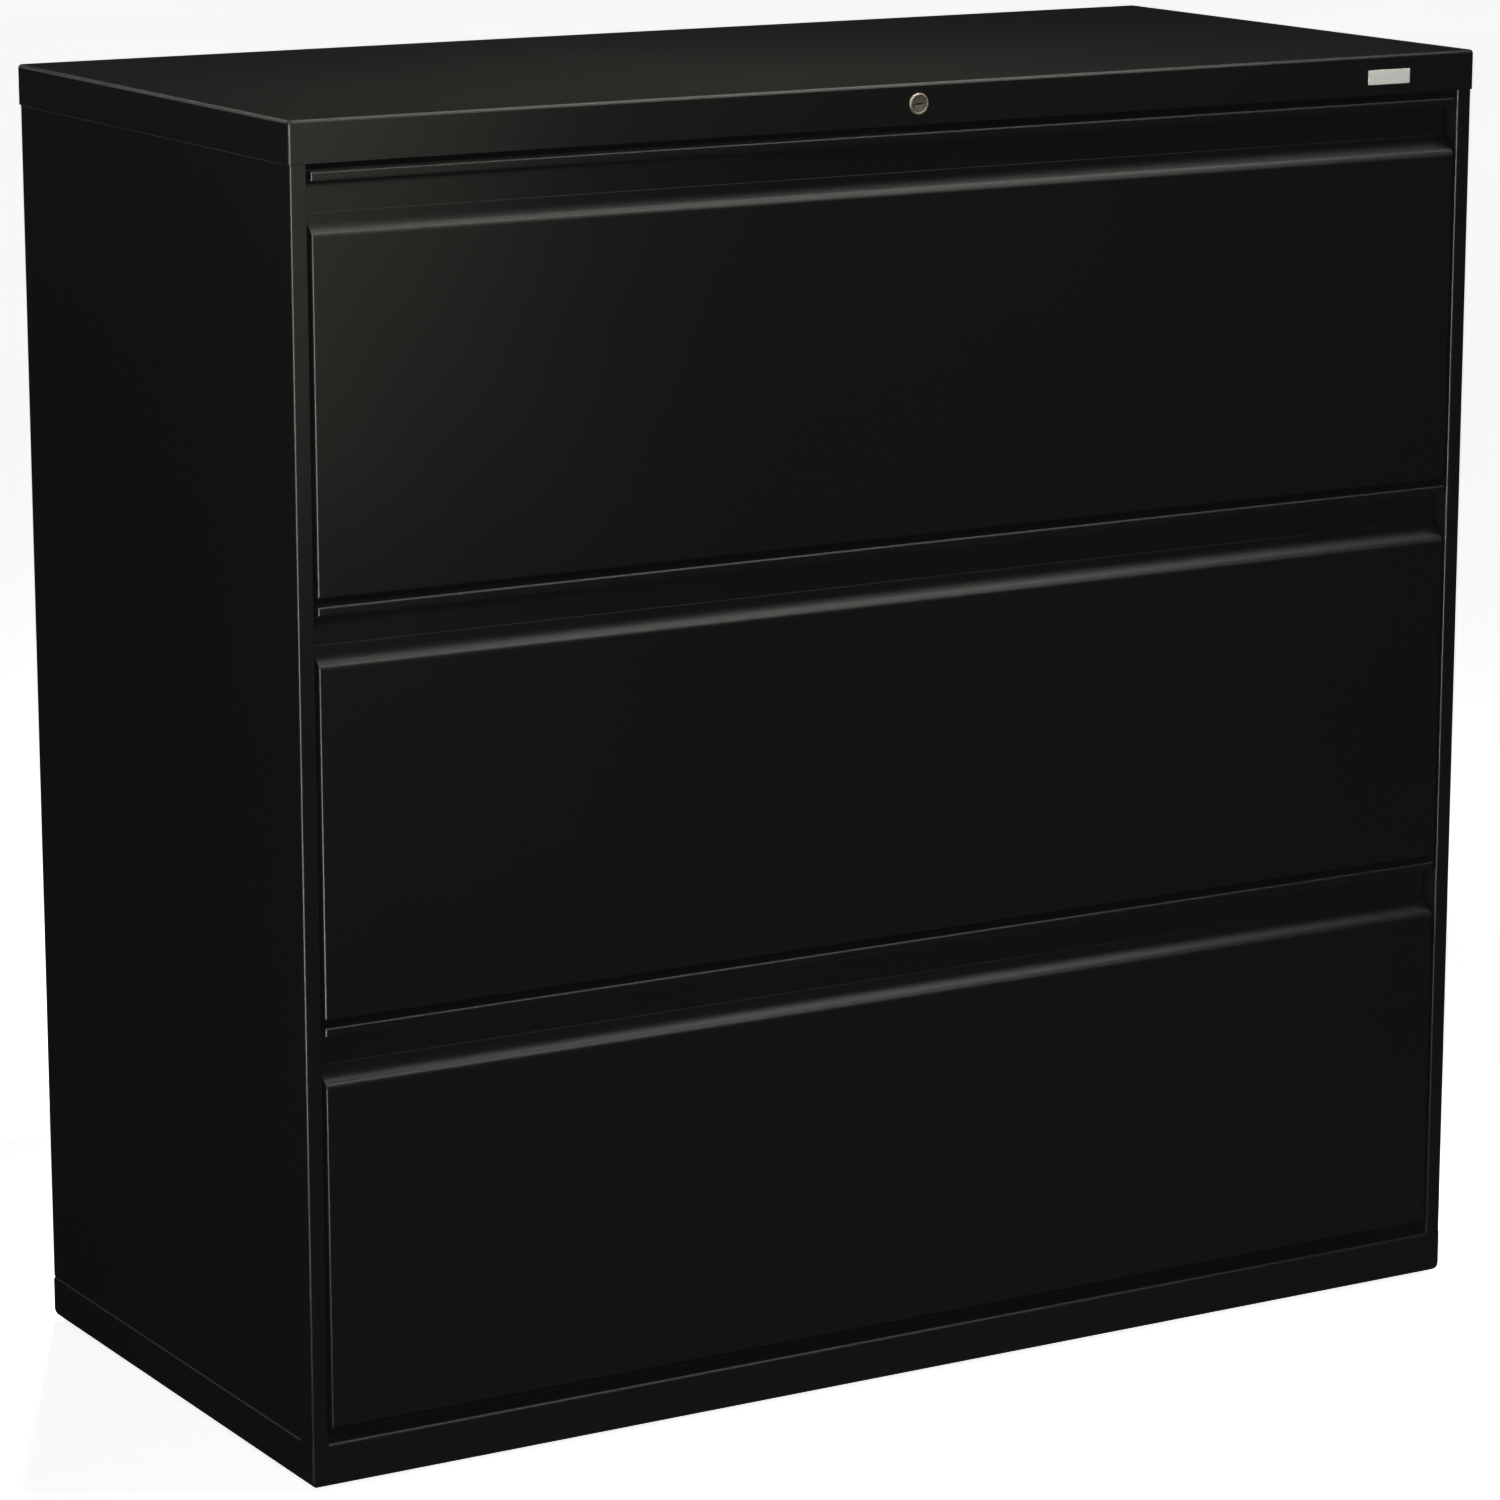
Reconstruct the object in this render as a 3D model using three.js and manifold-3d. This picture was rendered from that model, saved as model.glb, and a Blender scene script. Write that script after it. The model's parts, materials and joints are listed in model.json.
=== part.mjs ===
// Lateral filing cabinet with drawers one above the other, in millimetres.
// +Z is up, the drawers open towards -Y, and the cabinet stands on Z = 0.
import * as THREE from 'three';
import { mergeVertices } from 'three/addons/utils/BufferGeometryUtils.js';
import Module from 'manifold-3d';

const wasm = await Module();
wasm.setup();

// Overall sizes
const WIDTH = 1066.8; // across the lid, 42 in
const DEPTH = 489; // front to back of the lid
const DRAWERS = 3;

// Sheet metal
const SHEET = 1; // panels, fronts and drawer trays
const HEAVY_SHEET = 1.5; // uprights and the top rail
const BEND = 1.4; // inside radius of a fold
const FIT = 0.3; // gap between pieces that touch
const FACET = 1.15; // longest facet along a fold's arc
const ARC_STEPS = 4; // facets in a quarter turn of other rounded edges
const ROUND_SIDES = 24; // facets round a turned piece

// Lid
const LID_FLANGE = 32;
const LID_EDGE = 3; // outer radius of its folded edges
const LID_CORNER = 3.6;

// Drawer fronts and the gaps round them
const FRONT_HEIGHT = 313.5;
const DRAWER_GAP = 5.7; // between two fronts
const LID_GAP = 5.7; // between the lid's flange and the first front
const BASE_GAP = 11.6; // between the last front and the base
const SIDE_GAP = 3.2; // between a front and a stile
const FRONT_CORNER = 2; // radius of a front's upright edges

// Pull along the top of each front
const LIP = 7.5; // height of the lip's face
const LIP_HEM = 5; // turned-in lower edge of the lip
const RECESS_DEPTH = 15.5;
const LEDGE_TOP = 32; // where the ledge meets the recess wall, below the front's top
const RECESS_FOLD = 0.5; // inside radius of the fold at the foot of the recess wall
const LEDGE_FRONT = 45; // where the ledge would meet the flat face
const LEDGE_BEND = 8; // inside radius of that soft edge

// Side panels
const STILE = 13.5; // width of the side's fold across the front
const STILE_RETURN = 20; // fold back inside the cabinet
const BACK_RETURN = 12;

// Base and levelling glides
const BASE_TOP = 37;
const BASE_LIFT = 2; // base above the floor
const BASE_PROUD = 0.6; // base beyond the side panels
const BASE_EDGE = 3; // radius of the base's upper edge
const BASE_FOOT_EDGE = 7; // radius of its lower edge
const BASE_CORNER = 3.6;
const BASE_FLANGE = 52; // top flange, turned in
const BASE_FOOT_FLANGE = 12; // bottom flange, turned in
const GLIDE_INSET = 35; // glide axis from the base's outside
const GLIDE_FOOT_RADIUS = 16;
const GLIDE_FOOT_HEIGHT = 6;
const STEM_RADIUS = 5;
const STEM_PLAY = 0.4;
const STEM_RISE = 9; // stem above the bottom pan
const NUT_RADIUS = 9;
const NUT_HEIGHT = 10;
const PAN_HOLE_RADIUS = 8;

// Telescopic slides
const SLIDE_HEIGHT = 46;
const SLIDE_DEPTH = 12.7;
const SLIDE_SHEET = 1.2;
const SLIDE_PLAY = 0.4;
const SLIDE_RISE = 60; // slide's middle above the tray's lower edge
const SLIDE_END_GAP = 2.5; // slide's end from the upright's or tray's end
const MIDDLE_SHORTER = 70; // middle member shorter than the others

// Drawer trays
const TRAY_RISE = 14; // tray's lower edge above the front's lower edge
const TRAY_HEIGHT = 255;
const TRAY_FLANGE = 10;
const TRAY_BACK_SPACE = 43; // behind the tray, for the counterweight
const HANG_RAIL_THICK = 2;
const HANG_RAIL_ABOVE = 5; // rail above the tray's wall
const HANG_RAIL_BELOW = 13; // rail below the top of the tray's wall
const HANG_RAIL_SPACING = 336; // between the two rails
const HANG_RAIL_PLAY = 1;

// Uprights, top rail and counterweight
const UPRIGHT_WIDTH = 45;
const TOP_RAIL_DEPTH = 46;
const TOP_RAIL_FRONT = 2; // rail behind the drawer fronts' plane
const TOP_RAIL_DROP = 3; // rail below the lid's flange
const TOP_RAIL_SHELF = 26; // lower flange, which carries the transfer bar
const WEIGHT_LENGTH = 800;
const WEIGHT_HEIGHT = 100;
const WEIGHT_GAP = 5; // counterweight clear of the tray
const WEIGHT_BACK_GAP = 2;

// Lock
const LOCK_BEZEL_RADIUS = 8.3;
const LOCK_BEZEL_PROUD = 2;
const LOCK_BEZEL_RIM = 1.6; // width of the raised rim
const LOCK_BARREL_RADIUS = 7.4;
const LOCK_BARREL_LENGTH = 18;
const PLUG_RADIUS = 6;
const PLUG_PLAY = 0.4;
const PLUG_SUNK = 1.4; // plug's face behind the rim
const PLUG_TAIL_RADIUS = 4;
const KEYWAY_LENGTH = 7;
const KEYWAY_WIDTH = 1.2;
const KEYWAY_DEPTH = 8;
const CAM_RADIUS = 10; // plug's axis to the cam pin
const CAM_THICK = 2.5;
const CAM_HUB_RADIUS = 7;
const CAM_PIN_RADIUS = 2.5;
const CAM_PIN_PLAY = 0.6;
const BAR_THICK = 3; // transfer bar and lock bar
const BAR_GAP = 4.2; // cam to transfer bar
const BAR_CLEAR = 0.8; // transfer bar to upright
const BAR_HEIGHT = 16;
const BAR_END = 20; // transfer bar past the plug's axis
const BAR_PLATE_HEIGHT = 28;
const BAR_PLATE_MARGIN = 9; // plate round the ends of its slot
const LOCK_PIN_RADIUS = 3;
const LOCK_PIN_PLAY = 0.5;
const LOCK_PIN_INSET = 13.5; // lock pin from the upright's face
const LOCK_BAR_WIDTH = 12;
const LOCK_BAR_PLAY = 1.5;
const LOCK_BAR_FOOT = 20; // lock bar below its lowest tab
const LOCK_ARM_HEIGHT = 8;
const TAB_RISE = 150; // tab above the tray's lower edge
const TAB_HEIGHT = 8;
const TAB_REACH = 7.5; // tab past the upright's face
const TAB_WIDTH = 6;
const TAB_PLAY = 2;
const LUG_REACH = 9;
const LUG_HEIGHT = 12;
const LUG_THICK = 2.5;
const LUG_CLEAR = 3; // lug above the tab when unlocked
const LUG_BEHIND = 2; // lug behind the tab

// Plate on the lid
const PLATE_LENGTH = 41;
const PLATE_HEIGHT = 11.7;
const PLATE_THICK = 0.7;
const PLATE_FROM_RIGHT = 66; // plate's right end from the lid's right side
const PLATE_FROM_TOP = 11.8;

// Places that follow from the sizes
const fronts = DRAWERS * FRONT_HEIGHT + (DRAWERS - 1) * DRAWER_GAP;
const lidBottom = BASE_TOP + BASE_GAP + fronts + LID_GAP;
const top = lidBottom + LID_FLANGE;
const lidFront = -DEPTH / 2;
const underLid = top - SHEET - FIT;
const underLidEdge = top - LID_EDGE - FIT;
const bodyInset = SHEET + FIT;
const bodyHalf = WIDTH / 2 - bodyInset;
const bodyFront = lidFront + bodyInset;
const bodyBack = DEPTH / 2 - bodyInset;
const sideInner = bodyHalf - SHEET - FIT;
const frontHalf = bodyHalf - STILE - SIDE_GAP;
const baseHalf = bodyHalf + BASE_PROUD;
const baseFront = bodyFront - BASE_PROUD;
const baseBack = bodyBack + BASE_PROUD;
const panBottom = BASE_TOP + FIT;
const panTop = panBottom + SHEET;
const backInner = bodyBack - SHEET - FIT - SHEET;
const uprightFace = bodyHalf - STILE;
const slideMount = uprightFace - FIT;
const trayHalf = slideMount - SLIDE_DEPTH - FIT;
const panHalf = trayHalf - SHEET - BEND;
const trayFront = bodyFront + RECESS_DEPTH + SHEET + FIT;
const trayBack = bodyBack - TRAY_BACK_SPACE;
const lockHeight = top - LID_FLANGE / 2;
const camFront = lidFront + LOCK_BARREL_LENGTH + PLUG_PLAY + FIT;
const camBack = camFront + CAM_THICK;
const barFront = camBack + BAR_GAP;
const barBack = barFront + BAR_THICK;
const uprightFront = barBack + BAR_CLEAR;
const slideFront = uprightFront + SLIDE_END_GAP;
const slideBack = trayBack - SLIDE_END_GAP;
const railBottom = lidBottom - TOP_RAIL_DROP;
const shelfTop = railBottom + HEAVY_SHEET;
const lockTravel = CAM_RADIUS * Math.SQRT2;
const lockBarX = -(uprightFace + HEAVY_SHEET + bodyHalf - SHEET) / 2;
const lockBarFront = uprightFront + HEAVY_SHEET + LOCK_BAR_PLAY;
const lockArmBottom = shelfTop + LOCK_BAR_PLAY;
const lockPinX = -(uprightFace - LOCK_PIN_INSET);
const lockPinZ = lockArmBottom + LOCK_ARM_HEIGHT / 2;
const tabFront = lockBarFront + (LOCK_BAR_WIDTH - TAB_WIDTH) / 2;
const tabBack = tabFront + TAB_WIDTH;

// Heights of one drawer, counted from the top one
function drawerHeights(number) {
  const frontTop = lidBottom - LID_GAP - (number - 1) * (FRONT_HEIGHT + DRAWER_GAP);
  const frontBottom = frontTop - FRONT_HEIGHT;
  const trayBottom = frontBottom + TRAY_RISE;
  const trayTop = trayBottom + TRAY_HEIGHT;
  const slideMiddle = trayBottom + SLIDE_RISE;
  const tabBottom = trayBottom + TAB_RISE;
  return { frontTop, frontBottom, trayBottom, trayTop, slideMiddle, tabBottom };
}

// Solids from three.js geometry
function solid(geometry) {
  const bare = geometry.clone();
  bare.deleteAttribute('normal');
  bare.deleteAttribute('uv');
  const merged = mergeVertices(bare);
  const vertProperties = new Float32Array(merged.attributes.position.array);
  const triVerts = new Uint32Array(merged.index.array);
  return new wasm.Manifold(new wasm.Mesh({ numProp: 3, vertProperties, triVerts }));
}

function block([x0, x1], [y0, y1], [z0, z1]) {
  const geometry = new THREE.BoxGeometry(x1 - x0, y1 - y0, z1 - z0);
  geometry.translate((x0 + x1) / 2, (y0 + y1) / 2, (z0 + z1) / 2);
  return solid(geometry);
}

// Directions of a flat outline's two axes and of its extrusion
const AXES = {
  x: [new THREE.Vector3(0, 1, 0), new THREE.Vector3(0, 0, 1), new THREE.Vector3(1, 0, 0)],
  y: [new THREE.Vector3(-1, 0, 0), new THREE.Vector3(0, 0, 1), new THREE.Vector3(0, 1, 0)],
  z: [new THREE.Vector3(1, 0, 0), new THREE.Vector3(0, 1, 0), new THREE.Vector3(0, 0, 1)],
};

// Prism of an outline given as (y, z), (x, z) or (x, y), for the axis x, y or z
function prism(outline, axis, [from, to]) {
  const flip = axis === 'y' ? -1 : 1;
  const shape = new THREE.Shape(outline.map(([a, b]) => new THREE.Vector2(flip * a, b)));
  const geometry = new THREE.ExtrudeGeometry(shape, { depth: to - from, bevelEnabled: false });
  geometry.translate(0, 0, from);
  geometry.applyMatrix4(new THREE.Matrix4().makeBasis(...AXES[axis]));
  return solid(geometry);
}

// Turned solid about an axis along Y or Z, from (radius, place on the axis) points
function turned(points, axis, [a, b]) {
  const profile = points.map(([radius, along]) => new THREE.Vector2(radius, along));
  const geometry = new THREE.LatheGeometry(profile, ROUND_SIDES);
  if (axis === 'z') {
    geometry.rotateX(Math.PI / 2);
    geometry.translate(a, b, 0);
  } else {
    geometry.translate(a, 0, b);
  }
  return solid(geometry);
}

function rod(radius, axis, centre, [from, to]) {
  return turned([[0, from], [radius, from], [radius, to], [0, to]], axis, centre);
}

// The two faces of a bent sheet: the path is one face, and the sheet lies to its left
function bentFaces(path, thickness, radii) {
  const near = [];
  const far = [];
  const points = path.map(([a, b]) => new THREE.Vector2(a, b));
  points.forEach((point, i) => {
    const before = i > 0 ? point.clone().sub(points[i - 1]).normalize() : null;
    const after = i < points.length - 1 ? points[i + 1].clone().sub(point).normalize() : null;
    if (before === null || after === null) {
      const along = before ?? after;
      near.push(point);
      far.push(new THREE.Vector2(-along.y, along.x).multiplyScalar(thickness).add(point));
      return;
    }
    const turn = Math.atan2(before.cross(after), before.dot(after));
    const sign = Math.sign(turn);
    const inside = radii[i] ?? BEND;
    const nearRadius = sign > 0 ? inside + thickness : inside;
    const farRadius = nearRadius - sign * thickness;
    const towards = new THREE.Vector2(-before.y, before.x).multiplyScalar(sign);
    const setBack = nearRadius * Math.tan(Math.abs(turn) / 2);
    const centre = point.clone().addScaledVector(before, -setBack).addScaledVector(towards, nearRadius);
    const steps = Math.ceil((Math.max(nearRadius, farRadius) * Math.abs(turn)) / FACET);
    for (let step = 0; step <= steps; step += 1) {
      const spoke = towards.clone().negate().rotateAround(new THREE.Vector2(), (turn * step) / steps);
      near.push(centre.clone().addScaledVector(spoke, nearRadius));
      far.push(centre.clone().addScaledVector(spoke, farRadius));
    }
  });
  return [near, far].map((face) => face.map(({ x, y }) => [x, y]));
}

// Outline of a bent sheet
function bentSheet(path, thickness, radii = {}) {
  const [near, far] = bentFaces(path, thickness, radii);
  return [...near, ...far.reverse()];
}

// Outline of a slot or arm with round ends
function capsule([ax, ay], [bx, by], radius) {
  const start = Math.atan2(by - ay, bx - ax) + Math.PI / 2;
  const outline = [];
  for (let step = 0; step <= 2 * ARC_STEPS; step += 1) {
    const angle = start + (Math.PI * step) / (2 * ARC_STEPS);
    outline.push([ax + radius * Math.cos(angle), ay + radius * Math.sin(angle)]);
  }
  for (let step = 0; step <= 2 * ARC_STEPS; step += 1) {
    const angle = start + Math.PI + (Math.PI * step) / (2 * ARC_STEPS);
    outline.push([bx + radius * Math.cos(angle), by + radius * Math.sin(angle)]);
  }
  return outline;
}

// Rings, each an inset and a height, of an edge rounded inwards at its top or bottom
function roundedEdge(height, radius, direction) {
  const rings = [];
  for (let step = 0; step <= ARC_STEPS; step += 1) {
    const angle = (Math.PI / 2) * (step / ARC_STEPS);
    const inset = radius * (1 - Math.cos(angle));
    rings.push([inset, height - direction * radius * (1 - Math.sin(angle))]);
  }
  return direction > 0 ? rings : rings.reverse();
}

// Slab with rounded corners, built ring by ring from the bottom up
function roundedSlab(half, [y0, y1], corner, rings) {
  const positions = [];
  const index = [];
  const count = 4 * (ARC_STEPS + 1);
  for (const [inset, z] of rings) {
    const radius = Math.max(corner - inset, corner / 8);
    for (let i = 0; i < count; i += 1) {
      const quarter = Math.floor(i / (ARC_STEPS + 1));
      const angle = (Math.PI / 2) * (quarter + (i % (ARC_STEPS + 1)) / ARC_STEPS);
      const right = quarter === 0 || quarter === 3;
      const far = quarter < 2;
      const x = (right ? 1 : -1) * (half - inset - radius) + radius * Math.cos(angle);
      const y = (far ? y1 - inset - radius : y0 + inset + radius) + radius * Math.sin(angle);
      positions.push(x, y, z);
    }
  }
  for (let ring = 0; ring < rings.length - 1; ring += 1) {
    for (let i = 0; i < count; i += 1) {
      const a = ring * count + i;
      const b = ring * count + ((i + 1) % count);
      index.push(a, b, b + count, a, b + count, a + count);
    }
  }
  const last = (rings.length - 1) * count;
  for (let i = 1; i < count - 1; i += 1) {
    index.push(0, i + 1, i, last, last + i, last + i + 1);
  }
  const geometry = new THREE.BufferGeometry();
  geometry.setAttribute('position', new THREE.Float32BufferAttribute(positions, 3));
  geometry.setIndex(index);
  return solid(geometry);
}

function mirrored(outline, side) {
  return outline.map(([a, b]) => [side * a, b]);
}

function span(a, b) {
  return [Math.min(a, b), Math.max(a, b)];
}

// Materials
const paint = { color: 0x1d1d1b, roughness: 0.42, metalness: 0.1 };
const innerPaint = { color: 0x232322, roughness: 0.55, metalness: 0.1 };
const zinc = { color: 0x9b9c9c, roughness: 0.38, metalness: 0.9 };
const nickel = { color: 0x8d8672, roughness: 0.3, metalness: 0.95 };
const plateMetal = { color: 0xbcbcb7, roughness: 0.35, metalness: 0.6 };
const castIron = { color: 0x4d4d4b, roughness: 0.8, metalness: 0.3 };

const cabinet = new THREE.Group();

function add(name, body, look) {
  const { vertProperties, triVerts } = body.getMesh();
  const geometry = new THREE.BufferGeometry();
  geometry.setAttribute('position', new THREE.BufferAttribute(vertProperties, 3));
  geometry.setIndex(new THREE.BufferAttribute(triVerts, 1));
  geometry.computeVertexNormals();
  const mesh = new THREE.Mesh(geometry, new THREE.MeshStandardMaterial(look));
  mesh.name = name;
  cabinet.add(mesh);
}

const SIDES = [['left', -1], ['right', 1]];

// Lid: a pressed pan, open below, with the lock's hole in its front flange
function topCover() {
  const outer = roundedSlab(WIDTH / 2, [lidFront, DEPTH / 2], LID_CORNER, [
    [0, lidBottom],
    ...roundedEdge(top, LID_EDGE, 1),
  ]);
  const hollow = roundedSlab(WIDTH / 2 - SHEET, [lidFront + SHEET, DEPTH / 2 - SHEET], LID_CORNER - SHEET, [
    [0, lidBottom - FIT],
    ...roundedEdge(top - SHEET, LID_EDGE - SHEET, 1),
  ]);
  const hole = rod(LOCK_BARREL_RADIUS + FIT, 'y', [0, lockHeight], [lidFront - SHEET, lidFront + 2 * SHEET]);
  return outer.subtract(hollow).subtract(hole);
}

// Side panel, folded round the front as a stile and turned in at the back
function sidePanel(side) {
  const path = [
    [bodyHalf - STILE, bodyFront + STILE_RETURN],
    [bodyHalf - STILE, bodyFront],
    [bodyHalf, bodyFront],
    [bodyHalf, bodyBack],
    [bodyHalf - BACK_RETURN, bodyBack],
  ];
  return prism(mirrored(bentSheet(path, SHEET), side), 'z', [BASE_TOP + FIT, underLidEdge]);
}

// Back panel, inside the sides' back folds, with a flange under the lid
function backPanel() {
  const outerFace = bodyBack - SHEET - FIT;
  const path = [
    [outerFace, BASE_TOP + FIT],
    [outerFace, underLid],
    [outerFace - TRAY_FLANGE, underLid],
  ];
  const half = sideInner - BEND;
  return prism(bentSheet(path, SHEET), 'x', [-half, half]);
}

function glidePlaces() {
  const x = baseHalf - GLIDE_INSET;
  return [
    ['front_left', -x, baseFront + GLIDE_INSET],
    ['front_right', x, baseFront + GLIDE_INSET],
    ['rear_left', -x, baseBack - GLIDE_INSET],
    ['rear_right', x, baseBack - GLIDE_INSET],
  ];
}

// Square ends of the base's upper edge, on which the stiles stand
function baseShoulders() {
  const upper = [BASE_TOP - BASE_EDGE, BASE_TOP];
  const plan = roundedSlab(baseHalf, [baseFront, baseBack], BASE_CORNER, upper.map((z) => [0, z]));
  const depth = [baseFront, bodyFront + STILE_RETURN];
  const between = block(span(-uprightFace, uprightFace), depth, upper);
  return plan.intersect(block(span(-baseHalf, baseHalf), depth, upper)).subtract(between);
}

// Base: a folded channel all round, open below, with nuts for the glides
function base() {
  const rolled = roundedSlab(baseHalf, [baseFront, baseBack], BASE_CORNER, [
    ...roundedEdge(BASE_LIFT, BASE_FOOT_EDGE, -1),
    ...roundedEdge(BASE_TOP, BASE_EDGE, 1),
  ]);
  const outer = rolled.add(baseShoulders());
  const inside = [baseFront + SHEET, baseBack - SHEET];
  const channel = roundedSlab(baseHalf - SHEET, inside, BASE_CORNER - SHEET, [
    ...roundedEdge(BASE_LIFT + SHEET, BASE_FOOT_EDGE - SHEET, -1),
    ...roundedEdge(BASE_TOP - SHEET, BASE_EDGE - SHEET, 1),
  ]);
  const middle = block(
    span(-(baseHalf - BASE_FLANGE), baseHalf - BASE_FLANGE),
    [baseFront + BASE_FLANGE, baseBack - BASE_FLANGE],
    [0, BASE_TOP + FIT],
  );
  const below = block(
    span(-(baseHalf - BASE_FOOT_FLANGE), baseHalf - BASE_FOOT_FLANGE),
    [baseFront + BASE_FOOT_FLANGE, baseBack - BASE_FOOT_FLANGE],
    [0, BASE_TOP / 2],
  );
  let frame = outer.subtract(channel).subtract(middle).subtract(below);
  for (const [, x, y] of glidePlaces()) {
    const nut = rod(NUT_RADIUS, 'z', [x, y], [BASE_TOP - SHEET - NUT_HEIGHT, BASE_TOP - SHEET / 2]);
    frame = frame.add(nut);
  }
  for (const [, x, y] of glidePlaces()) {
    frame = frame.subtract(rod(STEM_RADIUS + STEM_PLAY, 'z', [x, y], [0, BASE_TOP + FIT]));
  }
  return frame;
}

// Levelling glide: a foot on a threaded stem, turned from inside the cabinet
function glide(x, y) {
  const stemTop = panTop + STEM_RISE;
  const profile = [
    [0, 0],
    [GLIDE_FOOT_RADIUS, 0],
    [GLIDE_FOOT_RADIUS, GLIDE_FOOT_HEIGHT / 2],
    [STEM_RADIUS, GLIDE_FOOT_HEIGHT],
    [STEM_RADIUS, stemTop],
    [0, stemTop],
  ];
  return turned(profile, 'z', [x, y]);
}

function bottomPan() {
  const front = bodyFront + STILE_RETURN + FIT;
  let pan = block(span(-sideInner, sideInner), [front, backInner - FIT], [panBottom, panTop]);
  for (const [, x, y] of glidePlaces()) {
    pan = pan.subtract(rod(PAN_HOLE_RADIUS, 'z', [x, y], [panBottom - FIT, panTop + FIT]));
  }
  return pan;
}

// Upright channel between a side panel and the slides
function upright(side, front) {
  const path = [
    [sideInner, front + UPRIGHT_WIDTH],
    [uprightFace, front + UPRIGHT_WIDTH],
    [uprightFace, front],
    [sideInner, front],
  ];
  const outline = mirrored(bentSheet(path, HEAVY_SHEET), side);
  return prism(outline, 'z', [panTop + FIT, railBottom - TOP_RAIL_DROP]);
}

// The left front upright has a window for each tab of the lock bar
function lockUpright() {
  let channel = upright(-1, uprightFront);
  for (let number = 1; number <= DRAWERS; number += 1) {
    const { tabBottom } = drawerHeights(number);
    const window = block(
      span(-(uprightFace - FIT), -(uprightFace + HEAVY_SHEET + FIT)),
      [tabFront - LOCK_BAR_PLAY, tabBack + LOCK_BAR_PLAY],
      [tabBottom - TAB_PLAY, tabBottom + TAB_HEIGHT + lockTravel + TAB_PLAY],
    );
    channel = channel.subtract(window);
  }
  return channel;
}

function topRail() {
  const back = bodyFront + TOP_RAIL_DEPTH;
  const path = [
    [back - TOP_RAIL_SHELF, railBottom],
    [back, railBottom],
    [back, underLid],
    [bodyFront + TOP_RAIL_FRONT, underLid],
  ];
  return prism(bentSheet(path, HEAVY_SHEET), 'x', span(-slideMount, slideMount));
}

function counterweight() {
  const half = WEIGHT_LENGTH / 2;
  const depth = [trayBack + WEIGHT_GAP, backInner - WEIGHT_BACK_GAP];
  return block([-half, half], depth, [panTop + FIT, panTop + FIT + WEIGHT_HEIGHT]);
}

function plate() {
  const right = WIDTH / 2 - PLATE_FROM_RIGHT;
  const upper = top - PLATE_FROM_TOP;
  const back = lidFront - FIT;
  return block([right - PLATE_LENGTH, right], [back - PLATE_THICK, back], [upper - PLATE_HEIGHT, upper]);
}

// Lock housing: a barrel through the lid's flange with a raised rim in front
function lockHousing() {
  const bore = PLUG_RADIUS + PLUG_PLAY;
  const face = lidFront - LOCK_BEZEL_PROUD;
  const rimInside = LOCK_BEZEL_RADIUS - LOCK_BEZEL_RIM;
  const back = lidFront + LOCK_BARREL_LENGTH;
  const profile = [
    [rimInside, face],
    [LOCK_BEZEL_RADIUS - LOCK_BEZEL_RIM / 2, face],
    [LOCK_BEZEL_RADIUS, face + LOCK_BEZEL_RIM / 2],
    [LOCK_BEZEL_RADIUS, lidFront - FIT],
    [LOCK_BARREL_RADIUS, lidFront - FIT],
    [LOCK_BARREL_RADIUS, back],
    [bore, back],
    [bore, face + PLUG_SUNK],
    [rimInside, face],
  ];
  return turned(profile, 'y', [0, lockHeight]);
}

function lockPlug() {
  const face = lidFront - LOCK_BEZEL_PROUD + PLUG_SUNK;
  const shoulder = lidFront + LOCK_BARREL_LENGTH + PLUG_PLAY;
  const body = rod(PLUG_RADIUS, 'y', [0, lockHeight], [face, shoulder]);
  const tail = rod(PLUG_TAIL_RADIUS, 'y', [0, lockHeight], [shoulder - PLUG_PLAY, camBack + FIT]);
  const keyway = block(
    [-KEYWAY_LENGTH / 2, KEYWAY_LENGTH / 2],
    [face - FIT, face + KEYWAY_DEPTH],
    [lockHeight - KEYWAY_WIDTH / 2, lockHeight + KEYWAY_WIDTH / 2],
  );
  return body.add(tail).subtract(keyway);
}

// Cam: an arm on the plug's tail, with a pin in the transfer bar's slot
function lockCam() {
  const pinX = lockTravel / 2;
  const pinZ = lockHeight - lockTravel / 2;
  const hub = rod(CAM_HUB_RADIUS, 'y', [0, lockHeight], [camFront, camBack]);
  const arm = prism(capsule([0, lockHeight], [pinX, pinZ], CAM_PIN_RADIUS + SHEET), 'y', [camFront, camBack]);
  const pin = rod(CAM_PIN_RADIUS, 'y', [pinX, pinZ], [camFront, barBack + FIT]);
  const hole = rod(PLUG_TAIL_RADIUS + FIT, 'y', [0, lockHeight], [camFront - FIT, camBack + FIT]);
  return hub.add(arm).subtract(hole).add(pin);
}

// Transfer bar: slides sideways on the top rail, and its sloping slot lifts the lock bar
function lockTransferBar() {
  const bottom = shelfTop + FIT;
  const thickness = [barFront, barBack];
  const slotEnd = [lockPinX + lockTravel, lockPinZ + lockTravel];
  const strip = block([lockPinX, BAR_END], thickness, [bottom, bottom + BAR_HEIGHT]);
  const head = block(
    [lockPinX - BAR_PLATE_MARGIN, slotEnd[0] + BAR_PLATE_MARGIN],
    thickness,
    [bottom, bottom + BAR_PLATE_HEIGHT],
  );
  const reach = [barFront - FIT, barBack + FIT];
  const slope = prism(capsule([lockPinX, lockPinZ], slotEnd, LOCK_PIN_RADIUS + LOCK_PIN_PLAY), 'y', reach);
  const pinX = lockTravel / 2;
  const lowest = [pinX, lockHeight - CAM_RADIUS];
  const highest = [pinX, lockHeight - lockTravel / 2];
  const slot = prism(capsule(lowest, highest, CAM_PIN_RADIUS + CAM_PIN_PLAY), 'y', reach);
  return strip.add(head).subtract(slope).subtract(slot);
}

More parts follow.
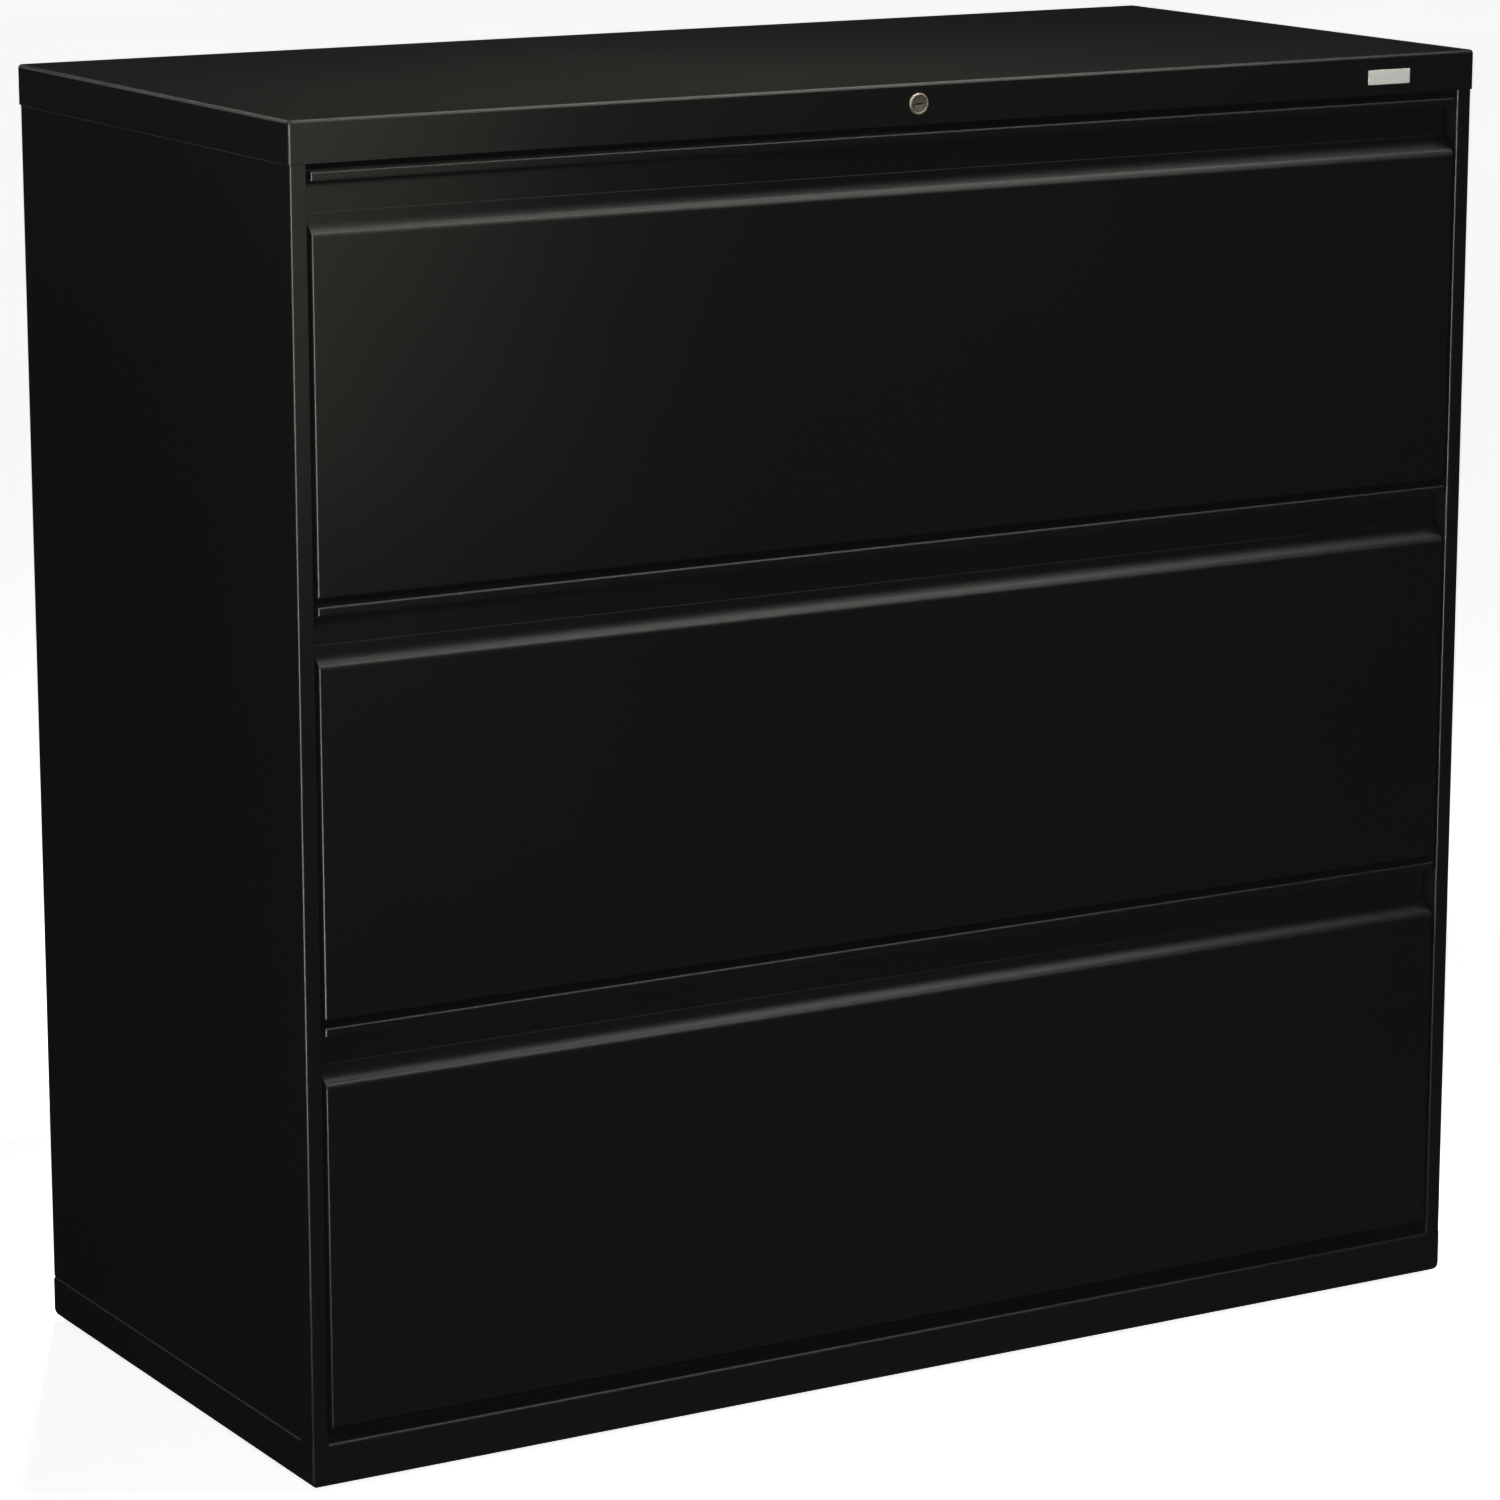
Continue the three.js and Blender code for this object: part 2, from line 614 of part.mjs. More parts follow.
// Lock bar: stands in the left front upright, with a tab for each drawer
function lockBar() {
  const width = [lockBarFront, lockBarFront + LOCK_BAR_WIDTH];
  const thickness = [lockBarX - BAR_THICK / 2, lockBarX + BAR_THICK / 2];
  const foot = drawerHeights(DRAWERS).tabBottom - LOCK_BAR_FOOT;
  const armTop = lockArmBottom + LOCK_ARM_HEIGHT;
  let bar = block(thickness, width, [foot, armTop]);
  const arm = block(
    [thickness[0], lockPinX + LOCK_PIN_RADIUS + LOCK_BAR_PLAY],
    [lockBarFront, lockBarFront + BAR_THICK],
    [lockArmBottom, armTop],
  );
  const pin = rod(LOCK_PIN_RADIUS, 'y', [lockPinX, lockPinZ], [barFront - FIT, lockBarFront + BAR_THICK / 2]);
  bar = bar.add(arm).add(pin);
  for (let number = 1; number <= DRAWERS; number += 1) {
    const { tabBottom } = drawerHeights(number);
    const reach = [thickness[0], -(uprightFace - TAB_REACH)];
    bar = bar.add(block(reach, [tabFront, tabBack], [tabBottom, tabBottom + TAB_HEIGHT]));
  }
  return bar;
}

// Drawer front: one folded sheet with the pull's lip, recess and ledge along its top,
// and end walls that fill the profile from the ledge down
function drawerFront({ frontTop, frontBottom }) {
  const lipBack = bodyFront + SHEET;
  const recessWall = bodyFront + RECESS_DEPTH;
  const returnBack = recessWall + SHEET;
  const path = [
    [lipBack + LIP_HEM, frontTop - LIP + SHEET],
    [lipBack, frontTop - LIP + SHEET],
    [lipBack, frontTop - SHEET],
    [recessWall, frontTop - SHEET],
    [recessWall, frontTop - LEDGE_TOP],
    [bodyFront, frontTop - LEDGE_FRONT],
    [bodyFront, frontBottom],
    [returnBack, frontBottom],
  ];
  const ledgeEdge = path.length - 3;
  const radii = { [ledgeEdge - 1]: RECESS_FOLD, [ledgeEdge]: LEDGE_BEND };
  let skin = prism(bentSheet(path, SHEET, radii), 'x', [-frontHalf, frontHalf]);
  const [, endWall] = bentFaces(path.slice(ledgeEdge - 1), SHEET / 2, { 1: LEDGE_BEND + SHEET / 2 });
  for (const [, side] of SIDES) {
    skin = skin.add(prism(endWall, 'x', span(side * frontHalf, side * (frontHalf - SHEET))));
  }
  return skin.intersect(prism(roundedPlan(), 'z', [frontBottom - FIT, frontTop + FIT]));
}

// Plan of a drawer front, with its two upright edges rounded
function roundedPlan() {
  const back = bodyFront + RECESS_DEPTH + 2 * SHEET;
  const corner = [];
  for (let step = 0; step <= ARC_STEPS; step += 1) {
    const angle = (Math.PI / 2) * (step / ARC_STEPS);
    const x = frontHalf - FRONT_CORNER + FRONT_CORNER * Math.sin(angle);
    const y = bodyFront + FRONT_CORNER - FRONT_CORNER * Math.cos(angle);
    corner.push([x, y]);
  }
  return [...mirrored(corner, -1).reverse(), ...corner, [frontHalf, back], [-frontHalf, back]];
}

// Drawer pan: front wall, bottom and back wall folded from one sheet
function drawerPan({ trayBottom, trayTop }) {
  const bottom = trayBottom + SHEET + FIT;
  const upper = trayTop - SHEET - FIT;
  const path = [
    [trayFront + TRAY_FLANGE, upper],
    [trayFront, upper],
    [trayFront, bottom],
    [trayBack, bottom],
    [trayBack, upper],
    [trayBack - TRAY_FLANGE, upper],
  ];
  return prism(bentSheet(path, SHEET), 'x', [-panHalf, panHalf]);
}

// Drawer side, folded in at its top and bottom; the left one has the lug that the lock catches
function drawerSide(side, { trayBottom, trayTop, tabBottom }) {
  const path = [
    [trayHalf - TRAY_FLANGE, trayBottom],
    [trayHalf, trayBottom],
    [trayHalf, trayTop],
    [trayHalf - TRAY_FLANGE, trayTop],
  ];
  const wall = prism(mirrored(bentSheet(path, SHEET), side), 'y', [trayFront, trayBack]);
  if (side > 0) {
    return wall;
  }
  const lugBottom = tabBottom + TAB_HEIGHT + LUG_CLEAR;
  const lug = block(
    [-(trayHalf + LUG_REACH), -(trayHalf - SHEET / 2)],
    [tabBack + LUG_BEHIND, tabBack + LUG_BEHIND + LUG_THICK],
    [lugBottom, lugBottom + LUG_HEIGHT],
  );
  return wall.add(lug);
}

// Hang rail: a bar from front to back that hooks over the pan's walls
function hangRail(side, { trayTop }) {
  const seat = trayTop - SHEET;
  const frontHook = trayFront + FIT;
  const backHook = trayBack - FIT;
  const frontInside = trayFront + TRAY_FLANGE + HANG_RAIL_PLAY;
  const backInside = trayBack - TRAY_FLANGE - HANG_RAIL_PLAY;
  const outline = [
    [frontHook, seat],
    [frontInside, seat],
    [frontInside, seat - HANG_RAIL_BELOW],
    [backInside, seat - HANG_RAIL_BELOW],
    [backInside, seat],
    [backHook, seat],
    [backHook, seat + HANG_RAIL_ABOVE],
    [frontHook, seat + HANG_RAIL_ABOVE],
  ];
  const middle = (side * HANG_RAIL_SPACING) / 2;
  return prism(outline, 'x', [middle - HANG_RAIL_THICK / 2, middle + HANG_RAIL_THICK / 2]);
}

// Slide members, each a channel inside the one before it
function slideChannel(side, middle, height, webFace, edge, length) {
  const path = [
    [edge, middle - height / 2],
    [webFace, middle - height / 2],
    [webFace, middle + height / 2],
    [edge, middle + height / 2],
  ];
  const opensInward = edge < webFace;
  const outline = bentSheet(opensInward ? path : path.reverse(), SLIDE_SHEET);
  return prism(mirrored(outline, side), 'y', length);
}

function addSlides(number, name, side, slideMiddle) {
  const step = SLIDE_SHEET + SLIDE_PLAY;
  const innerFace = slideMount - SLIDE_DEPTH;
  const length = [slideFront, slideBack];
  const middleLength = [slideFront, slideBack - MIDDLE_SHORTER];
  const middleWeb = slideMount - step;
  const drawerEdge = middleWeb - step - BEND;
  const caseEdge = innerFace + SLIDE_PLAY;
  const caseMember = slideChannel(side, slideMiddle, SLIDE_HEIGHT, slideMount, caseEdge, length);
  const middleHeight = SLIDE_HEIGHT - 2 * step;
  const middleEdge = innerFace + step;
  const middle = slideChannel(side, slideMiddle, middleHeight, middleWeb, middleEdge, middleLength);
  const drawerHeight = middleHeight - 2 * step;
  const drawer = slideChannel(side, slideMiddle, drawerHeight, innerFace, drawerEdge, length);
  add(`drawer_${number}_${name}_case_slide`, caseMember, zinc);
  add(`drawer_${number}_${name}_middle_slide`, middle, zinc);
  add(`drawer_${number}_${name}_drawer_slide`, drawer, zinc);
}

// Cabinet case
add('top_cover', topCover(), paint);
add('back_panel', backPanel(), paint);
add('base', base(), paint);
add('bottom_pan', bottomPan(), innerPaint);
add('top_rail', topRail(), innerPaint);
add('counterweight', counterweight(), castIron);
add('nameplate', plate(), plateMetal);
for (const [name, side] of SIDES) {
  add(`${name}_side_panel`, sidePanel(side), paint);
  const frontUpright = side < 0 ? lockUpright() : upright(side, uprightFront);
  add(`front_${name}_upright`, frontUpright, innerPaint);
  add(`rear_${name}_upright`, upright(side, slideBack - SLIDE_END_GAP - UPRIGHT_WIDTH), innerPaint);
}
for (const [name, x, y] of glidePlaces()) {
  add(`${name}_glide`, glide(x, y), zinc);
}

// Lock
add('lock_housing', lockHousing(), nickel);
add('lock_plug', lockPlug(), nickel);
add('lock_cam', lockCam(), zinc);
add('lock_transfer_bar', lockTransferBar(), zinc);
add('lock_bar', lockBar(), zinc);

// Drawers
for (let number = 1; number <= DRAWERS; number += 1) {
  const heights = drawerHeights(number);
  add(`drawer_${number}_front`, drawerFront(heights), paint);
  add(`drawer_${number}_pan`, drawerPan(heights), innerPaint);
  for (const [name, side] of SIDES) {
    add(`drawer_${number}_${name}_side`, drawerSide(side, heights), innerPaint);
    add(`drawer_${number}_${name}_hang_rail`, hangRail(side, heights), zinc);
    addSlides(number, name, side, heights.slideMiddle);
  }
}

// The origin is under the middle of the whole cabinet, lock rim included
cabinet.position.y = LOCK_BEZEL_PROUD / 2;

export default cabinet;
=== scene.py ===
import json
import math

import bmesh
import bpy
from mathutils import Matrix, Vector


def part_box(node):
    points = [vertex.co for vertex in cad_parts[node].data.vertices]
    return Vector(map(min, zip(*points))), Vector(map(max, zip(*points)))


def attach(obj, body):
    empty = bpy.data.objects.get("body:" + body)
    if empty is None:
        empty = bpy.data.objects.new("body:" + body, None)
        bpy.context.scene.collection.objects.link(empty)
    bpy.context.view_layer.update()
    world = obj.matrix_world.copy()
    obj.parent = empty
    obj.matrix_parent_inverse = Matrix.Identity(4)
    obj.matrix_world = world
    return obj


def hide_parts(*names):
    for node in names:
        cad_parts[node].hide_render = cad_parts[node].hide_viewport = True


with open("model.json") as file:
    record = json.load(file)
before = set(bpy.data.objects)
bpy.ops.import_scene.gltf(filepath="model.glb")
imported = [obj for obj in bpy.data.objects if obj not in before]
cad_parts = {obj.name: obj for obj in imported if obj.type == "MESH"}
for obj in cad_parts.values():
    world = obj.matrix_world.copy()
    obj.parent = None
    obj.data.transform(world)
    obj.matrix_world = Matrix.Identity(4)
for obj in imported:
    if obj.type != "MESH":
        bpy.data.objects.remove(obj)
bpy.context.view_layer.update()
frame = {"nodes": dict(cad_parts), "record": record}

# Camera, found from the straight edges in the photograph: place in metres, lens and sensor in millimetres
CAMERA_PLACE = (-2.266, -3.828, 1.460)
CAMERA_YAW = math.radians(30.56)
CAMERA_PITCH = math.radians(12.55)
CAMERA_LENS = 132.96
SENSOR = 36.0

# Floor and backdrop
FLOOR_HALF = 40.0
FLOOR_COLOUR = (0.86, 0.86, 0.86)
FLOOR_SHADE = 0.985
FLOOR_GRAIN = 0.6
FLOOR_ROUGHNESS = 0.9
FLOOR_GLOW = 1.05

# The sky is dark up to a height of direction, where 1 is straight up, and brightens from there
SKY_START = 0.5
SKY_HIGH = 0.1

# Share of white that veils the darkest places of the picture
BLACK_LIFT = 0.0035

# Lights. Fill lights reach only the matte share of a finish, gloss lights only its shine
LIGHT_COLOUR = (1.0, 0.99, 0.93)
# A spot has its place, what it points at, its cone in degrees, its softness and its power in watts
FILL_SPOTS = {
    "upper_left_near": ((-0.50, -0.95, 1.25), (-0.62, -0.243, 1.02), 50.0, 0.1, 195.0),
    "upper_left_far": ((-0.50, -1.25, 1.30), (-0.66, -0.243, 1.08), 64.0, 0.1, 160.0),
    "behind": ((0.3, 1.7, 0.85), (0.1, 0.245, 0.75), 80.0, 0.1, 420.0),
    "right_side": ((1.9, 0.3, 0.85), (0.533, 0.0, 0.75), 60.0, 0.1, 300.0),
}
# A box has its place, what it points at, its size, its spread in degrees and its power in watts
FILL_BOXES = {
    "over_lid": ((-0.15, -0.25, 1.75), (-0.15, -0.1, 1.0), (0.4, 0.3), 120.0, 29.0),
    "over_lid_right": ((0.3, -0.35, 1.75), (0.3, -0.15, 1.0), (0.4, 0.3), 120.0, 3.0),
    "left_strip": ((-1.8, -1.0, 0.7), (0.2, -0.5, 0.6), (0.3, 1.2), 80.0, 2.5),
}
GLOSS_BOXES = {
    "left_shine": ((-1.6, -0.9, 0.6), (0.2, -0.5, 0.6), (0.3, 1.4), 80.0, 4.5),
    "low_left_shine": ((-1.3, -0.75, 0.14), (-0.5, -0.3, 0.2), (0.3, 0.2), 100.0, 0.3),
    "right_shine": ((2.5, -3.88, 2.95), (-0.1, -0.24, 0.88), (0.9, 0.9), 20.0, 0.13),
    "high_shine": ((1.8, -3.28, 4.14), (-0.1, -0.24, 0.88), (0.9, 0.9), 20.0, 0.25),
    "high_right_shine": ((2.5, -2.74, 4.14), (-0.1, -0.24, 0.88), (0.9, 0.9), 20.0, 0.1),
    "over_front_shine": ((1.3, -0.65, 3.15), (0.0, -0.24, 0.6), (0.5, 1.4), 180.0, 8.0),
    "over_lid_shine": ((1.2, 0.5, 3.4), (0.0, -0.24, 0.6), (0.5, 1.4), 180.0, 10.0),
    "back_left_shine": ((-0.9, 2.2, 2.6), (-0.3, 0.0, 1.0), (0.8, 0.6), 140.0, 3.0),
    "low_back_left_shine": ((-1.9, 2.6, 1.6), (-0.4, 0.0, 1.0), (0.8, 0.6), 140.0, 1.5),
}

# Finishes: the scale of each grain, its depth in metres and its usual lowest and highest value
CLOUD_GRAIN = 5.0
PEEL_GRAIN = 420.0
PEEL_DEPTH = 0.00003
PEEL_ROUGHNESS = 0.03
SPANGLE_GRAIN = 90.0
SCRATCH_GRAIN = 900.0
PATINA_GRAIN = 420.0
BRUSH_GRAIN = 300.0
BRUSH_STRETCH = (0.05, 1.0, 8.0)
FINE_DEPTH = 0.00002
PIT_GRAIN = 260.0
PIT_DEPTH = 0.0004
GRAIN_LOW = 0.3
GRAIN_HIGH = 0.7

# Paints and metals
BLACK_PAINT = (0.002, 0.002, 0.0018)
INNER_PAINT = (0.006, 0.006, 0.0056)
# The bead's lighter paint is a painted highlight, standing in for the light seam line under the lid's
# flanges
PAINTED_SEAM_HIGHLIGHT = (0.02, 0.02, 0.0185)
ZINC = (0.55, 0.56, 0.57)
DULL_ZINC = (0.4, 0.4, 0.41)
NICKEL = (0.19, 0.17, 0.135)
NICKEL_DARK = (0.12, 0.106, 0.082)
NICKEL_LIGHT = (0.26, 0.235, 0.19)
PLATE = (0.5, 0.5, 0.475)
IRON = (0.07, 0.07, 0.068)
IRON_DARK = (0.045, 0.045, 0.044)
IRON_LIGHT = (0.095, 0.093, 0.09)

# Softened edges of the solids, in metres
EDGE_SOFTNESS = 0.0003
EDGE_SEGMENTS = 2
SHARP_EDGE = math.radians(35.0)
FLAT_EDGE = math.radians(0.5)
WELD_REACH = 0.000002

# Lock, in metres
ROUND_SIDES = 72
RIM_WIDTH = 0.0012
RIM_OUTER_ROUND = 0.001
RIM_ROUND = 0.0006
BARREL_WALL = 0.001
LOCK_PLAY = 0.0004
PLUG_CHAMFER = 0.0003
PLUG_TAIL_RADIUS = 0.004
PLUG_TAIL_LENGTH = 0.0035
KEYWAY_LENGTH = 0.007
KEYWAY_WIDTH = 0.0012
KEYWAY_DEPTH = 0.008

# Levelling glides, in metres
FOOT_HEIGHT = 0.006
FOOT_ROUND = 0.0015
FOOT_DOME = 0.0012
STEM_RADIUS = 0.005
THREAD_PITCH = 0.0015
THREAD_DEPTH = 0.0008
THREAD_ROWS = 6
THREAD_SIDES = 20

# Rivets inside the drawers and screws at the back, in metres. The tip is a share of a head's radius
DRAWERS = ("drawer_1", "drawer_2", "drawer_3")
HEAD_SIDES = 24
HEAD_TIP = 0.05
RIVET_RADIUS = 0.0035
RIVET_HEIGHT = 0.0011
RIVET_SEAT = 0.0014
RIVETS_PER_SLIDE = 4
SCREW_RADIUS = 0.0034
SCREW_HEIGHT = 0.001
SCREWS_PER_SIDE = 6
SCREW_INSET = 0.006

# Bead under the lid's side flanges, in metres, and the share of its size at its ends. Its lighter paint is
# a painted highlight along the flanges' lower edges
BEAD_DROP = 0.0011
BEAD_TAPER = 0.02
BEAD_END = 0.2

# Keeps a division away from zero
TINY = 1e-6


def aim_at(place, target):
    return (Vector(target) - Vector(place)).to_track_quat("-Z", "Y").to_euler()


def set_camera():
    data = bpy.data.cameras.new("camera")
    data.sensor_width = SENSOR
    data.lens = CAMERA_LENS
    data.clip_end = 4 * FLOOR_HALF
    camera = bpy.data.objects.new("camera", data)
    camera.location = CAMERA_PLACE
    camera.rotation_euler = (math.pi / 2 - CAMERA_PITCH, 0.0, -CAMERA_YAW)
    bpy.context.scene.collection.objects.link(camera)
    bpy.context.scene.camera = camera


def hang_lamp(name, data, place, target, power):
    data.energy = power
    data.color = LIGHT_COLOUR
    lamp = bpy.data.objects.new(name, data)
    lamp.location = place
    lamp.rotation_euler = aim_at(place, target)
    lamp.visible_camera = False
    bpy.context.scene.collection.objects.link(lamp)
    return lamp


def spot(name, place, target, cone, softness, power):
    data = bpy.data.lights.new(name, "SPOT")
    data.spot_size = math.radians(cone)
    data.spot_blend = 1.0
    data.shadow_soft_size = softness
    return hang_lamp(name, data, place, target, power)


def softbox(name, place, target, size, fan, power):
    data = bpy.data.lights.new(name, "AREA")
    data.shape = "RECTANGLE"
    data.size, data.size_y = size
    data.spread = math.radians(fan)
    return hang_lamp(name, data, place, target, power)


def set_sky():
    world = bpy.data.worlds.new("studio")
    world.use_nodes = True
    bpy.context.scene.world = world
    tree = world.node_tree
    background = tree.nodes["Background"]
    background.inputs["Color"].default_value = (1.0, 1.0, 1.0, 1.0)
    direction = tree.nodes.new("ShaderNodeTexCoord")
    split = tree.nodes.new("ShaderNodeSeparateXYZ")
    height = tree.nodes.new("ShaderNodeMapRange")
    height.inputs["From Min"].default_value = SKY_START
    height.inputs["To Max"].default_value = SKY_HIGH
    tree.links.new(direction.outputs["Generated"], split.inputs[0])
    tree.links.new(split.outputs["Z"], height.inputs["Value"])
    tree.links.new(height.outputs["Result"], background.inputs["Strength"])


def set_tone():
    view = bpy.context.scene.view_settings
    view.view_transform = "Standard"
    view.use_curve_mapping = True
    view.curve_mapping.black_level = (-BLACK_LIFT, -BLACK_LIFT, -BLACK_LIFT)
    view.curve_mapping.update()


def set_light():
    set_tone()
    set_sky()
    for name, values in FILL_SPOTS.items():
        spot(name, *values).visible_glossy = False
    for name, values in FILL_BOXES.items():
        softbox(name, *values).visible_glossy = False
    for name, values in GLOSS_BOXES.items():
        softbox(name, *values).visible_diffuse = False


# Small helpers for node materials

def start_material(name, colour, roughness, metallic=0.0, specular=0.5):
    material = bpy.data.materials.new(name)
    material.use_nodes = True
    shader = material.node_tree.nodes["Principled BSDF"]
    shader.inputs["Base Color"].default_value = (*colour, 1.0)
    shader.inputs["Roughness"].default_value = roughness
    shader.inputs["Metallic"].default_value = metallic
    shader.inputs["Specular IOR Level"].default_value = specular
    return material, material.node_tree, shader


def noise(tree, scale, detail=2.0, stretch=(1.0, 1.0, 1.0)):
    place = tree.nodes.new("ShaderNodeTexCoord")
    mapping = tree.nodes.new("ShaderNodeMapping")
    mapping.inputs["Scale"].default_value = stretch
    texture = tree.nodes.new("ShaderNodeTexNoise")
    texture.inputs["Scale"].default_value = scale
    texture.inputs["Detail"].default_value = detail
    tree.links.new(place.outputs["Object"], mapping.inputs["Vector"])
    tree.links.new(mapping.outputs["Vector"], texture.inputs["Vector"])
    return texture.outputs["Fac"]


def spread(tree, value, low, high):
    ranged = tree.nodes.new("ShaderNodeMapRange")
    ranged.inputs["From Min"].default_value = GRAIN_LOW
    ranged.inputs["From Max"].default_value = GRAIN_HIGH
    ranged.inputs["To Min"].default_value = low
    ranged.inputs["To Max"].default_value = high
    tree.links.new(value, ranged.inputs["Value"])
    return ranged.outputs["Result"]


def tint(tree, value, dark, light):
    ramp = tree.nodes.new("ShaderNodeValToRGB")
    ramp.color_ramp.elements[0].position = GRAIN_LOW
    ramp.color_ramp.elements[0].color = (*dark, 1.0)
    ramp.color_ramp.elements[1].position = GRAIN_HIGH
    ramp.color_ramp.elements[1].color = (*light, 1.0)
    tree.links.new(value, ramp.inputs["Fac"])
    return ramp.outputs["Color"]


def raise_bump(tree, shader, height, depth):
    bump = tree.nodes.new("ShaderNodeBump")
    bump.inputs["Strength"].default_value = 1.0
    bump.inputs["Distance"].default_value = depth
    tree.links.new(height, bump.inputs["Height"])
    tree.links.new(bump.outputs["Normal"], shader.inputs["Normal"])


def shades(colour, share):
    dark = [(1 - share) * c for c in colour]
    light = [(1 + share) * c for c in colour]
    return dark, light


# Finishes

def powder_coat(name, colour, roughness, specular):
    material, tree, shader = start_material(name, colour, roughness, specular=specular)
    clouds = noise(tree, CLOUD_GRAIN)
    peel = noise(tree, PEEL_GRAIN, detail=3.0)
    tree.links.new(tint(tree, clouds, *shades(colour, share=0.1)), shader.inputs["Base Color"])
    uneven = spread(tree, peel, low=roughness - PEEL_ROUGHNESS, high=roughness + PEEL_ROUGHNESS)
    tree.links.new(uneven, shader.inputs["Roughness"])
    raise_bump(tree, shader, peel, PEEL_DEPTH)
    return material


def zinc_plate(name, colour):
    material, tree, shader = start_material(name, colour, roughness=0.38, metallic=0.6)
    spangle = noise(tree, SPANGLE_GRAIN, detail=4.0)
    tree.links.new(tint(tree, spangle, *shades(colour, share=0.2)), shader.inputs["Base Color"])
    tree.links.new(spread(tree, spangle, low=0.3, high=0.46), shader.inputs["Roughness"])
    raise_bump(tree, shader, noise(tree, SCRATCH_GRAIN), FINE_DEPTH)
    return material


def antique_nickel(name):
    material, tree, shader = start_material(name, NICKEL, roughness=0.3, metallic=0.55)
    patina = noise(tree, PATINA_GRAIN, detail=4.0)
    tree.links.new(tint(tree, patina, NICKEL_DARK, NICKEL_LIGHT), shader.inputs["Base Color"])
    tree.links.new(spread(tree, patina, low=0.24, high=0.38), shader.inputs["Roughness"])
    raise_bump(tree, shader, patina, FINE_DEPTH)
    return material


def brushed_plate(name):
    material, tree, shader = start_material(name, PLATE, roughness=0.42)
    lines = noise(tree, BRUSH_GRAIN, detail=3.0, stretch=BRUSH_STRETCH)
    tree.links.new(tint(tree, lines, *shades(PLATE, share=0.05)), shader.inputs["Base Color"])
    tree.links.new(spread(tree, lines, low=0.36, high=0.48), shader.inputs["Roughness"])
    raise_bump(tree, shader, lines, FINE_DEPTH)
    return material


def cast_iron(name):
    material, tree, shader = start_material(name, IRON, roughness=0.7, metallic=0.4)
    pits = noise(tree, PIT_GRAIN, detail=6.0)
    tree.links.new(tint(tree, pits, IRON_DARK, IRON_LIGHT), shader.inputs["Base Color"])
    raise_bump(tree, shader, pits, PIT_DEPTH)
    return material


def make_materials():
    return {
        "black_paint": powder_coat("black_paint", BLACK_PAINT, roughness=0.32, specular=0.75),
        "inner_paint": powder_coat("inner_paint", INNER_PAINT, roughness=0.5, specular=0.6),
        "zinc_steel": zinc_plate("zinc_steel", ZINC),
        "antique_nickel": antique_nickel("antique_nickel"),
        "plate": brushed_plate("plate"),
        "weight": cast_iron("weight"),
        # Lighter paint of the bead: a painted highlight along the lid's lower edges
        "highlight_bead": powder_coat("highlight_bead", PAINTED_SEAM_HIGHLIGHT, roughness=0.5, specular=0.5),
        "glide": zinc_plate("glide", DULL_ZINC),
    }


# CAD nodes: soft edges, smooth bends and the finish of their slot

def smooth_bends():
    group = bpy.data.node_groups.new("smooth_bends", "GeometryNodeTree")
    group.interface.new_socket("Geometry", in_out="INPUT", socket_type="NodeSocketGeometry")
    group.interface.new_socket("Geometry", in_out="OUTPUT", socket_type="NodeSocketGeometry")
    nodes = group.nodes
    entry = nodes.new("NodeGroupInput")
    leave = nodes.new("NodeGroupOutput")
    faces = nodes.new("GeometryNodeSetShadeSmooth")
    edges = nodes.new("GeometryNodeSetShadeSmooth")
    edges.domain = "EDGE"
    edges.inputs["Shade Smooth"].default_value = False
    angle = nodes.new("GeometryNodeInputMeshEdgeAngle")
    sharp = nodes.new("FunctionNodeCompare")
    sharp.inputs[1].default_value = SHARP_EDGE
    group.links.new(angle.outputs["Unsigned Angle"], sharp.inputs[0])
    group.links.new(sharp.outputs["Result"], edges.inputs["Selection"])
    group.links.new(entry.outputs[0], faces.inputs["Geometry"])
    group.links.new(faces.outputs["Geometry"], edges.inputs["Geometry"])
    group.links.new(edges.outputs["Geometry"], leave.inputs[0])
    return group


def soften(obj, bends):
    weld = obj.modifiers.new("weld", "WELD")
    weld.merge_threshold = WELD_REACH
    merge = obj.modifiers.new("flats", "DECIMATE")
    merge.decimate_type = "DISSOLVE"
    merge.angle_limit = FLAT_EDGE
    bevel = obj.modifiers.new("soft_edges", "BEVEL")
    bevel.width = EDGE_SOFTNESS
    bevel.segments = EDGE_SEGMENTS
    bevel.limit_method = "ANGLE"
    bevel.angle_limit = SHARP_EDGE
    smooth = obj.modifiers.new("smooth_bends", "NODES")
    smooth.node_group = bends
    even = obj.modifiers.new("even_flats", "WEIGHTED_NORMAL")
    even.keep_sharp = True


def dress_nodes(materials, bends):
    slots = {part["node"]: part["material_slot"] for part in frame["record"]["subparts"]}
    for name, obj in frame["nodes"].items():
        obj.material_slots[0].material = materials[slots[name]]
        soften(obj, bends)


# Pieces made here

# Skin over loops of points, with a face over each end or joined into a ring
def make_piece(name, loops, ring=False):
    mesh = bpy.data.meshes.new(name)
    obj = bpy.data.objects.new(name, mesh)
    bpy.context.scene.collection.objects.link(obj)
    form = bmesh.new()
    rows = [[form.verts.new(point) for point in loop] for loop in loops]
    pairs = list(zip(rows, rows[1:]))
    if ring:
        pairs.append((rows[-1], rows[0]))
    else:
        form.faces.new(rows[0])
        form.faces.new(rows[-1])
    for near, far in pairs:
        for i in range(len(near)):
            form.faces.new((near[i - 1], near[i], far[i], far[i - 1]))
    bmesh.ops.recalc_face_normals(form, faces=form.faces)
    form.to_mesh(mesh)
    form.free()
    return obj


def finish_piece(obj, body, slot, materials, bends, replaced=(), finish=None):
    obj.data.materials.append(materials[finish or slot])
    smooth = obj.modifiers.new("smooth_bends", "NODES")
    smooth.node_group = bends
    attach(obj, body)
    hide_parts(*replaced)


